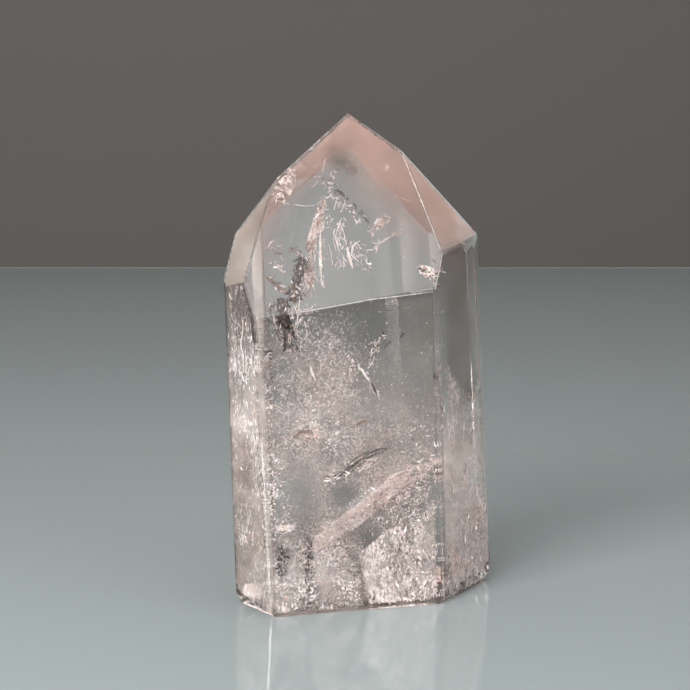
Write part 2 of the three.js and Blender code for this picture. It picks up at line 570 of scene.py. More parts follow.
# outline, depth, tilt and wave are as in a veil. base: how much of the light it stops away from the blots,
# from 0 to 1. blots: where it is denser, or thinner with a negative strength. tones: where it is rosier or,
# with a negative strength, smokier. patch: pixels across its patches. fade: pixels over which it thins
# towards its border.
FILM_CELL, HAZE_CELL = 2.5, 1.5  # pixels between the points of a film and of a haze
FILM_GAP, HAZE_GAP = 2 * MM, 0.3 * MM  # they thin out this far before the far side of the stone
PATCH_SWING = 0.6  # how much denser or thinner a film's patches are
PATCH_CONTRAST = 4.0  # how clear-cut they are
TONE_SWING, TONE_PATCH = 0.3, 30  # how far its tone swings, and pixels across the swings


def laid_grid(name, rows, columns):
    """A grid to be laid into the stone, and its points."""
    bpy.ops.object.select_all(action="DESELECT")
    bpy.ops.mesh.primitive_grid_add(x_subdivisions=rows, y_subdivisions=columns, size=2)
    piece = bpy.context.object
    piece.name = piece.data.name = name
    flat = np.empty(len(piece.data.vertices) * 3)
    piece.data.vertices.foreach_get("co", flat)
    return piece, flat.reshape(-1, 3)


def set_and_cut(piece, flat, gone):
    """Moves a grid's points to their places, and cuts those away that are gone."""
    piece.data.vertices.foreach_set("co", flat.reshape(-1))
    bm = bmesh.new()
    bm.from_mesh(piece.data)
    bm.verts.ensure_lookup_table()
    bmesh.ops.delete(bm, geom=[bm.verts[i] for i in np.flatnonzero(gone)], context="VERTS")
    bmesh.ops.delete(bm, geom=[vertex for vertex in bm.verts if not vertex.link_faces], context="VERTS")
    bm.to_mesh(piece.data)
    bm.free()


def add_layers(piece, cover, tone):
    """Keeps the cover and tone of a piece at its points, for its material to read."""
    for attribute, values in (("cover", cover), ("tone", tone)):
        layer = piece.data.attributes.new(attribute, "FLOAT", "POINT")
        layer.data.foreach_set("value", values.astype(np.float32))


def haze_piece(name, film, material, seed):
    """A smooth cloud, as a film that reaches closer to the surface."""
    return film_piece(name, film, material, seed, HAZE_CELL, HAZE_GAP)


def film_piece(name, film, material, seed, cell=FILM_CELL, gap=FILM_GAP):
    """A thin curved sheet of specks. Its cover and tone are kept at its points, for the material to read."""
    corners = np.array(film.outline, float)
    low, high = corners.min(0) - cell, corners.max(0) + cell
    columns, rows = [max(int(span / cell), 2) for span in high - low]
    piece, flat = laid_grid(name, columns, rows)
    x, y = ((flat[:, :2] + 1) / 2 * (high - low) + low).T
    points, room, kept = all_inside(np.stack([x, y], 1), sheet_depth(film, x, y, seed + 5))
    flat[kept] = points
    patches = np.clip(PATCH_CONTRAST * (rough_noise(x, y, film.patch, PATCH_SEED) - 0.5), -1, 1)
    cover = np.clip(blotted(x, y, film.blots, film.base) * (1 + PATCH_SWING * patches), 0, 1)
    cover *= np.clip(from_border(x, y, film.outline) / film.fade, 0, 1)
    cover[kept] *= np.clip(room / gap, 0, 1)
    swing = TONE_SWING * (2 * rough_noise(x, y, TONE_PATCH, seed + 2) - 1)
    tone = np.clip(0.5 + blotted(x, y, film.tones) / 2 + swing, 0, 1)
    add_layers(piece, cover, tone)
    set_and_cut(piece, flat, ~kept | ~in_outline(x, y, film.outline))
    bpy.ops.object.shade_smooth()
    return finish_piece(piece, [material])


# Cracks

Crack = namedtuple("Crack", "stations cell rough ragged bump grain swing thickness",
                   defaults=(1.6, 0.4, 0.5, 4.0, 1.0, 0.0, 0.0))
# stations: places on its middle line, each x, y, how far it reaches to either side in pixels, and its depth
# in millimetres. cell: pixels between its points. rough: the height of its crumples in millimetres. ragged:
# how far its edge is broken. bump: the size of its crumples in pixels, drawn out upwards by the grain.
# swing: how far it swings from side to side in pixels. thickness: in millimetres.
JITTER = 0.2  # how far its points stray, to its cell
WHOLE = 0.35  # the level of the noise above which its very edge is broken off
EDGE_COVER, ADDED_COVER = 0.1, 0.75  # its density at its edge, and what the middle adds to that
BEND_LENGTH = 12  # pixels from one swing to the next
TOOTH = 7  # pixels across the teeth of a broken edge
TONE_SPOT = 9  # pixels across the spots of one tone


def lay_crack(name, crack, seed):
    """A crumpled crack along its stations: a grid laid over the photograph and set into the stone."""
    line = np.array([station[:2] for station in crack.stations], float)
    reach = np.array([station[2] for station in crack.stations])
    depth = np.array([station[3] for station in crack.stations])
    steps = np.r_[0, np.cumsum(np.linalg.norm(np.diff(line, axis=0), axis=1))]
    rows = max(int(steps[-1] / crack.cell), 2)
    columns = max(int(2 * reach.max() / crack.cell), 2)
    piece, flat = laid_grid(name, rows, columns)
    u, v = (flat[:, 0] + 1) / 2, flat[:, 1]
    along = u * steps[-1]
    ahead, behind = np.minimum(along + 1, steps[-1]), np.maximum(along - 1, 0)
    tangent = np.stack([np.interp(ahead, steps, line[:, k]) - np.interp(behind, steps, line[:, k])
                        for k in (0, 1)], 1)
    tangent /= np.linalg.norm(tangent, axis=1)[:, None]
    sway = crack.swing * (2 * soft_noise(along, seed * 9.0, BEND_LENGTH, seed) - 1)
    side = v * np.interp(along, steps, reach) + sway
    jitter = np.random.RandomState(seed).randn(len(u), 2) * crack.cell * JITTER
    x = np.interp(along, steps, line[:, 0]) - tangent[:, 1] * side + jitter[:, 0]
    y = np.interp(along, steps, line[:, 1]) + tangent[:, 0] * side + jitter[:, 1]
    ridge = np.abs(2 * rough_noise(x, y / crack.grain, crack.bump, seed) - 1)
    depths = np.interp(along, steps, depth) + crack.rough * (1 - 2 * ridge)
    points, _, kept = all_inside(np.stack([x, y], 1), np.maximum(depths, SKIN / MM))
    flat[kept] = points
    edge = np.maximum(np.abs(v), np.abs(2 * u - 1) ** 3)
    broken = edge + crack.ragged * (rough_noise(x, y / crack.grain, TOOTH, seed + 3) - WHOLE) * 2 > 1
    cover = np.clip(ADDED_COVER * (1 - edge) + EDGE_COVER, 0, 1)
    add_layers(piece, cover, rough_noise(x, y, TONE_SPOT, seed + 6))
    set_and_cut(piece, flat, ~kept | broken)
    if crack.thickness:
        shell = piece.modifiers.new("thickness", "SOLIDIFY")
        shell.thickness = crack.thickness * MM
        shell.offset = 0
        bpy.ops.object.modifier_apply(modifier=shell.name)
    return piece


def crack_piece(name, cracks, material, seed):
    """Some cracks of one finish, joined in one piece."""
    laid = [lay_crack(name, crack, seed + i) for i, crack in enumerate(cracks)]
    bpy.ops.object.select_all(action="DESELECT")
    for part in laid:
        part.select_set(True)
    bpy.context.view_layer.objects.active = laid[0]
    if len(laid) > 1:
        bpy.ops.object.join()
    piece = bpy.context.object
    piece.name = piece.data.name = name
    print(name, len(piece.data.polygons), "faces")
    return finish_piece(piece, [material])


TAPER = 0.35  # how wide a thread is at its ends, to its middle


def thread(points, depth, reach=0.8, swing=0.6, rough=0.1):
    """A thin bright or dark line through places on the photograph."""
    ends = (0, len(points) - 1)
    stations = [(x, y, reach * (TAPER if i in ends else 1), depth) for i, (x, y) in enumerate(points)]
    return Crack(stations, cell=0.9, rough=rough, ragged=0.0, swing=swing, thickness=0.05)


# Bundles

Bundle = namedtuple("Bundle", "stations count length spread shares reach", defaults=((0.25, 0.75),))
# A crumpled crack seen close: many short curved slivers that run along it. stations are as in a crack. count:
# of slivers. length and reach: the smallest and largest, in pixels. spread: how far they turn off its
# direction, in degrees. shares: of white, rosy, brown, black and glinting slivers.
SLIVER_STEPS = 5
SLIVER_RARITY = 2  # the higher, the rarer the long and wide slivers
SLIVER_BEND = 0.2  # about how many radians a sliver turns with each step
SLIVER_DEPTH = 0.4  # the shallowest, in millimetres
SLIVER_TIP = 0.08  # how much of its rounded ends is cut off
MIRROR_SLACK = 0.25  # how much of its lift a glinting sliver keeps
CROWDING = 0.5  # how far slivers stray from the middle line, to its reach


def mirror_slopes(places):
    """How much deeper a gap gets to the right and downwards where it mirrors a light towards the eye."""
    flat, facet = next(found for found in (mirror_normals(px, py) for px, py in places) if found)
    right = Vector((0, 0, 1)).cross(facet).normalized()
    up = facet.cross(right)
    return np.array([flat.dot(right), -flat.dot(up)]) / flat.dot(facet)


def bundle_slivers(bundle, seed):
    """Corner pairs along all slivers of a bundle, their faces and their kinds."""
    random = np.random.RandomState(seed)
    stations = np.array(bundle.stations, float)
    steps = np.r_[0, np.cumsum(np.hypot(*np.diff(stations[:, :2], axis=0).T))]
    along = random.rand(bundle.count) * steps[-1]
    x, y, reach, depth = [np.interp(along, steps, stations[:, k]) for k in range(4)]
    right, down = [
        np.interp(along + 1, steps, places) - np.interp(along - 1, steps, places)
        for places in (stations[:, 0], stations[:, 1])
    ]
    course = np.arctan2(down, right)
    aside = np.clip(random.randn(bundle.count) * CROWDING, -1, 1) * reach
    x, y = x - np.sin(course) * aside, y + np.cos(course) * aside
    length = between(bundle.length, random.rand(bundle.count) ** SLIVER_RARITY)
    width = between(bundle.reach, random.rand(bundle.count) ** SLIVER_RARITY)
    heading = course + np.radians(bundle.spread) * random.randn(bundle.count)
    bend = random.randn(bundle.count) * SLIVER_BEND
    kind = picked_kinds(random, bundle.shares, bundle.count)
    slopes = random.randn(2, bundle.count) * LIFT
    mirror = mirror_slopes(stations[:, :2])
    glinting = kind == len(bundle.shares) - 1
    slopes = np.where(glinting, mirror[:, None] + slopes * MIRROR_SLACK, slopes)
    depth = np.maximum(depth + random.randn(bundle.count) * SCATTER, SLIVER_DEPTH)
    x0, y0 = x, y
    pixels, depths = [], []
    for i in range(SLIVER_STEPS + 1):
        half = width * math.sin(math.pi * (SLIVER_TIP + (1 - 2 * SLIVER_TIP) * i / SLIVER_STEPS))
        for hand in (-1, 1):
            px, py = x - np.sin(heading) * half * hand, y + np.cos(heading) * half * hand
            pixels.append(np.stack([px, py], 1))
            depths.append(depth + PIXEL / MM * (slopes[0] * (px - x0) + slopes[1] * (py - y0)))
        x, y = x + np.cos(heading) * length / SLIVER_STEPS, y + np.sin(heading) * length / SLIVER_STEPS
        heading = heading + bend
    pixels, depths = np.stack(pixels, 1).reshape(-1, 2), np.stack(depths, 1).reshape(-1)
    points, _, kept = all_inside(pixels, depths)
    rows = kept.reshape(bundle.count, -1).all(1)
    number = np.cumsum(kept) - 1
    first = number.reshape(bundle.count, -1)[rows, 0]
    quads = np.array([(2 * i, 2 * i + 2, 2 * i + 3, 2 * i + 1) for i in range(SLIVER_STEPS)])
    faces = (first[:, None, None] + quads[None]).reshape(-1, 4)
    return points, faces, np.repeat(kind[rows], SLIVER_STEPS)


def bundle_piece(name, bundles, materials, seed):
    """All the slivers of some bundles as one piece."""
    points, faces, kinds, start = [], [], [], 0
    for i, bundle in enumerate(bundles):
        some, quads, kind = bundle_slivers(bundle, seed + i)
        points.append(some)
        faces.append(quads + start)
        kinds.append(kind)
        start += len(some)
    piece = mesh_piece(name, np.concatenate(points), np.concatenate(faces), np.concatenate(kinds))
    print(name, len(piece.data.polygons), "faces")
    return finish_piece(piece, materials)


# The stage

def add_stage(settings):
    bpy.ops.object.select_all(action="DESELECT")
    bpy.ops.mesh.primitive_plane_add(size=2 * settings.reach, location=(0, 0, -FLOOR_DROP))
    floor = bpy.context.object
    floor.name = "floor"
    bpy.ops.object.transform_apply(location=True)
    floor.data.materials.append(pale_marble())
    bpy.ops.object.select_all(action="DESELECT")
    bpy.ops.mesh.primitive_cylinder_add(
        vertices=4, radius=settings.reach * math.sqrt(2), depth=settings.wall_height, end_fill_type="NOTHING",
        location=(0, 0, settings.wall_height / 2), rotation=(0, 0, math.pi / 4),
    )
    wall = bpy.context.object
    wall.name = "wall"
    bpy.ops.object.transform_apply(location=True, rotation=True)
    wall.data.materials.append(matt_wall())


def add_light(name, place, size, power, colour="ffffff"):
    light = bpy.data.lights.new(name, "AREA")
    light.shape = "SQUARE"
    light.size = size
    light.energy = power
    light.color = linear(colour)[:3]
    lamp = bpy.data.objects.new(name, light)
    bpy.context.scene.collection.objects.link(lamp)
    lamp.location = place
    lamp.rotation_euler = (STONE_MIDDLE - place).to_track_quat("-Z", "Y").to_euler()
    lamp.visible_camera = False
    return lamp


def add_lights(settings):
    world = bpy.data.worlds.new("studio")
    bpy.context.scene.world = world
    world.use_nodes = True
    world.node_tree.nodes["Background"].inputs["Color"].default_value = (1, 1, 1, 1)
    world.node_tree.nodes["Background"].inputs["Strength"].default_value = settings.ambient
    add_light("key", KEY_PLACE, KEY_SIZE, settings.key_power)
    add_light("front", FRONT_PLACE, FRONT_SIZE, settings.front_power)
    add_light("fill", FILL_PLACE, FILL_SIZE, settings.fill_power)
    add_light("top", TOP_PLACE, TOP_SIZE, settings.top_power, "fff8f4")


def add_camera():
    camera = bpy.data.cameras.new("camera")
    camera.sensor_width = SENSOR
    camera.lens = SENSOR * FOCAL_PIXELS / PHOTO_SIZE
    camera.clip_start = CLIP_START
    holder = bpy.data.objects.new("camera", camera)
    bpy.context.scene.collection.objects.link(holder)
    holder.location = CAMERA_PLACE
    holder.rotation_euler = (CAMERA_TILT, 0, 0)
    bpy.context.scene.camera = holder


def set_light_paths():
    """Light in a clear stone is mirrored many times before it leaves."""
    scene = bpy.context.scene
    scene.view_settings.view_transform = "Standard"
    cycles = scene.cycles
    cycles.max_bounces = cycles.transmission_bounces = cycles.glossy_bounces = BOUNCES
    cycles.transparent_max_bounces = CLEAR_BOUNCES


# Settings

class StageSettings(bpy.types.PropertyGroup):
    reach: bpy.props.FloatProperty(
        name="Reach", description="Radius of the floor", default=0.40, unit="LENGTH")
    wall_height: bpy.props.FloatProperty(
        name="Wall height", description="Height of the wall round the floor", default=0.30, unit="LENGTH")
    ambient: bpy.props.FloatProperty(name="Ambient", description="Light from all round", default=1.0)
    key_power: bpy.props.FloatProperty(
        name="Key", description="Power of the left front light in watts", default=11.0)
    front_power: bpy.props.FloatProperty(
        name="Front", description="Power of the right front light in watts", default=1.5)
    fill_power: bpy.props.FloatProperty(
        name="Fill", description="Power of the weak light high in front in watts", default=0.25)
    top_power: bpy.props.FloatProperty(
        name="Top", description="Power of the light overhead in watts", default=1.75)


class VeilSettings(bpy.types.PropertyGroup):
    amount: bpy.props.FloatProperty(
        name="Amount", description="Share of the flecks that are made", default=1.0, min=0, max=1,
        subtype="FACTOR")


# All that is in the stone, by its places on the photograph

# the pockets of clear stone in the lower body
CLEARER = [
    Blot(425, 335, 62, 78, 15, -0.6),
    Blot(302, 497, 20, 27, 0, -0.4),
    Blot(343, 494, 16, 14, -20, -0.35),
    Blot(350, 526, 10, 8, 0, -0.3),
    Blot(371, 538, 14, 15, 20, -0.35),
    Blot(395, 450, 30, 14, -10, -0.12),
    Blot(310, 345, 40, 30, 0, -0.12),
    Blot(378, 405, 44, 46, 0, -0.14),
    Blot(300, 400, 26, 18, 0, -0.1),
    Blot(330, 575, 22, 14, 0, -0.12),
]

# where the body is milkier
DENSER = [
    Blot(330, 425, 70, 24, 0, 0.07),
    Blot(322, 600, 52, 12, 0, 0.2),
    Blot(278, 450, 9, 110, 0, 0.15),
    Blot(405, 500, 34, 26, -20, 0.06),
    Blot(305, 575, 40, 26, 0, 0.24),
    Blot(300, 440, 34, 20, 0, 0.1),
    Blot(430, 470, 14, 60, 0, 0.14),
]

# where it is rosier, or smokier
BODY_TONES = [
    Blot(360, 430, 80, 30, 0, 0.5),
    Blot(368, 510, 80, 12, -35, 0.5),
    Blot(305, 436, 22, 10, 0, 0.6),
    Blot(322, 600, 52, 12, 0, 0.3),
    Blot(282, 560, 9, 22, 0, -1.1),
    Blot(309, 575, 7, 30, 0, -0.9),
    Blot(350, 370, 12, 20, 0, 0.5),
    Blot(300, 390, 40, 40, 0, -0.2),
    Blot(430, 590, 18, 12, 0, -0.5),
]

# the body's outline behind the large front facet
BODY = [(266, 322), (300, 312), (345, 306), (438, 380), (440, 604), (276, 616)]

# All films and hazes, in the order in which they are laid: name, finish, seed of its noise, and shape.
SHEETS = [
    # the milky films of the body, from front to back
    ("film_body_1", "milky", 51, Film([(268, 326), (300, 314), (372, 310), (400, 360), (439, 380),
        (440, 604), (280, 615)], 2.5, (1, 0), 0.8, 0.25, CLEARER + DENSER, BODY_TONES, 22, 30)),
    ("film_body_2", "milky", 52, Film(BODY, 7, (-2, 2), 2.0, 0.28, CLEARER + DENSER, BODY_TONES, 30, 30)),
    ("film_body_3", "milky", 53, Film([(270, 340), (330, 330), (438, 380), (440, 604), (276, 616)], 13,
        (3, -2), 2.0, 0.42, CLEARER, BODY_TONES, 36, 40)),
    # streaks behind the left facet
    ("film_left", "streaky", 61, Film([(225, 280), (244, 284), (256, 330), (271, 612), (238, 602)], 1.2,
        (0, 0), 0.4, 0.33, [Blot(243, 490, 12, 34, 0, -0.25), Blot(238, 300, 20, 34, 0, -0.14)],
        [Blot(238, 300, 20, 26, 0, -0.3), Blot(255, 542, 12, 14, 0, 0.9), Blot(250, 450, 20, 60, 0, 0.2),
        Blot(246, 602, 20, 8, 0, -1.2)], 16, 4)),
    # streaks behind the right front facet
    ("film_right", "streaky", 62, Film([(442, 350), (466, 392), (481, 372), (490, 480), (490, 590),
        (446, 603)], 2.0, (0, 0), 0.8, 0.58, [Blot(476, 482, 12, 22, 0, -0.4),
        Blot(478, 520, 12, 30, 0, 0.3), Blot(466, 535, 40, 66, 0, 0.14), Blot(460, 400, 20, 20, 0, -0.15)],
        [Blot(455, 480, 14, 90, 0, 0.5), Blot(470, 585, 20, 14, 0, -0.9)], 16, 9)),
    # just under the point's facets, densest along their outer edges
    ("haze_point_1", "rosy", 71, Film([(349, 90), (430, 120), (470, 270), (434, 296), (268, 322),
        (250, 262), (262, 190)], 0.7, (0, 0), 0.05, 0.1, [Blot(408, 172, 96, 45, 50, 0.92),
        Blot(345, 112, 44, 34, 0, 0.75), Blot(303, 163, 60, 20, -45, 0.65),
        Blot(258, 240, 16, 60, 15, 0.3)], [Blot(350, 200, 300, 300, 0, -1.0)], 200, 2)),
    ("haze_point_2", "rosy", 72, Film([(390, 130), (500, 220), (477, 235), (443, 254), (441, 252),
        (401, 150)], 0.6, (0, 0), 0.05, 0.93, [Blot(448, 250, 14, 8, -20, -0.4)],
        [Blot(440, 200, 200, 200, 0, 1.2)], 200, 2)),
    # the body's even pink, clearer at its top
    ("haze_body", "pale", 84, Film([(255, 322), (300, 312), (372, 302), (434, 294), (438, 500), (440, 620),
        (272, 620), (265, 500)], 5, (0, 0), 0.5, 0.38, [Blot(405, 335, 70, 70, 15, -0.26),
        Blot(310, 318, 70, 34, 0, -0.38), Blot(302, 497, 18, 24, 0, -0.25), Blot(320, 588, 56, 24, 0, 0.25),
        *CLEARER[2:5]], [Blot(360, 500, 200, 200, 0, 0.1), Blot(310, 582, 60, 34, 0, 0.9)], 30, 4)),
    # the right front facet's even pink
    ("haze_right", "pale", 83, Film([(440, 360), (484, 350), (505, 590), (446, 625)], 2.0, (0, 0), 0.2,
        0.55, [Blot(478, 482, 11, 20, 0, -0.35), Blot(462, 376, 60, 54, 0, -0.6)],
        [Blot(465, 500, 60, 160, 0, 0.9)], 30, 2)),
    # the pale ground of the foil
    ("haze_foil", "pale", 88, Film([(357, 552), (372, 541), (386, 528), (412, 520), (436, 496), (439, 640),
        (374, 640)], 3.5, (0, 0), 0.3, 0.42, [], [Blot(400, 560, 90, 90, 0, 0.8)], 12, 3)),
    # threads along the left border of the body and at its foot
    ("film_border", "milky", 64, Film([(254, 322), (259, 400), (265, 500), (271, 612), (340, 614),
        (340, 322)], 1.6, (0, 0), 0.4, 0.0, [Blot(268, 480, 19, 165, -3, 0.36),
        Blot(300, 575, 40, 26, 0, 0.34)], [Blot(268, 440, 40, 90, 0, 0.1), Blot(282, 560, 9, 22, 0, -1.1)],
        12, 2)),
    # under the small left facet of the point
    ("haze_point_left", "pale", 79, Film([(300, 140), (268, 203), (254, 250), (245, 284), (215, 290),
        (215, 230)], 0.6, (0, 0), 0.05, 0.82, [], [], 200, 2)),
    # the left facet's even pink
    ("haze_left", "pale", 82, Film([(215, 278), (246, 284), (256, 330), (271, 618), (225, 610)], 2.0,
        (0, 0), 0.2, 0.42, [], [Blot(238, 300, 30, 34, 0, -0.1), Blot(250, 470, 60, 130, 0, 0.6)], 40, 4)),
    # a pale strip along the left border of the large front facet
    ("haze_border", "pale", 85, Film([(262, 205), (264, 300), (266, 400), (273, 525), (278, 605),
        (270, 612), (254, 330), (250, 262)], 0.6, (0, 0), 0.05, 0.6, [Blot(266, 480, 30, 120, 0, -0.25)],
        [Blot(262, 400, 90, 400, 0, 0.1)], 90, 2)),
    # along the foot
    ("haze_foot", "pale", 87, Film([(270, 584), (362, 580), (370, 625), (275, 625)], 2.0, (0, 0), 0.2, 0.45,
        [], [], 14, 6)),
    # along the foot, in front of the haze
    ("film_foot", "milky", 63, Film([(270, 574), (360, 570), (368, 625), (275, 625)], 1.0, (0, 0), 0.2,
        0.34, [], [Blot(350, 606, 120, 16, 0, -0.3)], 14, 5)),
    # threads at the lower right
    ("film_foot_right", "streaky", 65, Film([(445, 455), (468, 480), (494, 520), (494, 590), (448, 612)],
        0.6, (0, 0), 0.3, 0.42, [], [Blot(468, 540, 60, 90, 0, 0.6), Blot(470, 590, 24, 12, 0, -0.9)], 12,
        7)),
    # smoky stone right of the body's upper corner
    ("smoke_right", "smoky", 81, Film([(440, 236), (477, 238), (482, 400), (460, 420), (441, 400)], 3,
        (0, 0), 0.2, 0.6, [], [], 60, 10)),
    # painted shade far behind the body: a brown film that stands in for the shadowed floor behind the stone
    ("painted_shade_behind", "smoky", 86, Film([(280, 440), (430, 440), (432, 600), (284, 606)], 15.5, (0, 0), 0.2,
        0.45, [], [], 60, 24)),
    # the dark smudge under the tip
    ("smoke_point", "smoky", 89, Film([(312, 135), (370, 135), (370, 190), (312, 190)], 0.5, (0, 0), 0.05,
        0.0, [Blot(340, 161, 17, 9, 38, 0.4)], [], 6, 4)),
]

MIXED, NEEDLES = (4, 4, 3, 1), (3, 4, 2, 0.6)  # shares of milky, rosy, smoky and glinting flecks
# the body's healed cracks
BODY_VEILS = [
    Veil([(266, 330), (300, 316), (400, 330), (438, 380), (441, 604), (276, 616)], 2.5, (1, 0), 1.0, 1300,
        (0.08, 0.32), 4, (20, 60), NEEDLES, 18, CLEARER + DENSER, 0.4),
    Veil(BODY, 6, (-2, 1), 2.0, 1300, (0.08, 0.32), 4, (0, 60), NEEDLES, 24, CLEARER + DENSER, 0.4),
    Veil(BODY, 12, (3, 0), 2.5, 1300, (0.08, 0.32), 4, (-20, 60), MIXED, 30, CLEARER, 0.4),
    Veil([(264, 322), (330, 312), (400, 330), (400, 460), (264, 460)], 4, (2, 0), 1.5, 350, (0.1, 0.4), 5,
        (25, 50), NEEDLES, 14, [Blot(305, 380, 50, 60, 0, 0.7)], 0.0),
]

# behind the left facet
LEFT_VEILS = [
    Veil([(226, 285), (243, 286), (254, 322), (269, 612), (240, 600)], 1.2, (0, 0), 0.5, 200, (0.1, 0.5), 5,
        (-3, 14), NEEDLES, 14, [Blot(243, 490, 12, 34, 0, -0.4)], 0.7),
]

# behind the right front facet
RIGHT_VEILS = [
    Veil([(442, 390), (466, 400), (478, 385), (489, 580), (445, 602)], 2, (0, 0), 1.0, 500, (0.2, 0.8), 7,
        (3, 14), NEEDLES, 14, [Blot(476, 482, 12, 22, 0, -0.6)], 0.6),
    Veil([(462, 480), (489, 500), (490, 580), (466, 580)], 1, (0, 0), 0.6, 500, (0.3, 1.1), 5, (0, 20),
        (3, 1, 1, 4), 12, [], 0.7),
]

# loose specks at all depths
SPECKS = [
    Veil(BODY, 5, (0, 0), 3.5, 1300, (0.1, 0.26), 1.5, (0, 90), (10, 2, 3, 3), 16, CLEARER, 0.7),
    Veil([(262, 200), (349, 130), (430, 240), (436, 400), (262, 330)], 8, (0, 0), 6, 260, (0.08, 0.2), 1.3,
        (0, 90), (6, 2, 2, 0.4), 60, [], 0.8),
    Veil([(378, 300), (438, 292), (440, 420), (378, 420)], 4, (0, 0), 4, 200, (0.08, 0.22), 2.0, (0, 90),
        (5, 2, 3, 2), 30, [], 0.8),
]

# the upright foil at the lower right; its small neighbours behind the right front facet hold painted
# highlights
FOILS_AND_HIGHLIGHTS = [
    Film([(357, 552), (372, 541), (386, 528), (412, 522), (436, 496), (440, 625), (374, 625)], 3.0, (0, 0),
        0.5, 0.42, [Blot(378, 575, 16, 50, -12, 0.3), Blot(425, 505, 20, 20, 0, -0.1)], [], 9, 2),
    # its blots and raised tone are painted highlights
    Film([(444, 500), (470, 484), (490, 478), (492, 560), (470, 600), (444, 610)], 1.5, (0, 0), 0.3, 0.3,
        [Blot(475, 502, 9, 16, 0, 0.7), Blot(482, 530, 8, 20, 0, 0.7), Blot(477, 562, 10, 13, 0, 0.7)],
        [Blot(478, 530, 20, 60, 0, 0.8)], 9, 4),
]

# the feathery band across the lower front, and the chip left of it
BAND = [
    Crack([(432, 466, 4, 3.0), (400, 480, 8, 3.0), (360, 512, 8, 2.8), (325, 538, 7, 2.6),
        (300, 556, 5, 2.4)], cell=1.4, rough=0.7, ragged=1.15, bump=3.5),
    Crack([(385, 500, 4, 3.2), (350, 526, 5, 3.0), (338, 530, 3, 3.0)], cell=1.3, rough=0.6, ragged=0.8),
    Crack([(275, 530, 3, 2.0), (286, 529, 4, 2.0), (296, 526, 2, 2.0)], cell=1.2, rough=0.4, ragged=0.6),
]

# the star-shaped chip at the right border of the point, and the copper patch at its left
COPPER_PATCH = [
    Crack([(417, 266, 2, 0.8), (428, 272, 6, 0.8), (440, 275, 2, 0.8)], cell=1.2, rough=0.5, ragged=0.9,
        bump=3.0),
    Crack([(293, 166, 2, 0.5), (288, 180, 9, 0.5), (279, 198, 9, 0.5)], cell=1.2, rough=0.6, ragged=0.35,
        bump=3.0),
]

# the feather, and the wisp right of it
FEATHER = [
    Crack([(325, 195, 2, 8), (319, 215, 4, 8), (312, 240, 5, 8), (309, 262, 4, 7)], cell=1.3, rough=0.8,
        ragged=1.0, bump=3.0),
    Crack([(309, 262, 4, 7), (309, 285, 5, 6), (316, 291, 3, 6)], cell=1.3, rough=0.6, ragged=1.0),
    Crack([(384, 216, 2, 6), (380, 223, 5, 6), (374, 230, 3, 6)], cell=1.3, rough=0.6, ragged=0.9),
]

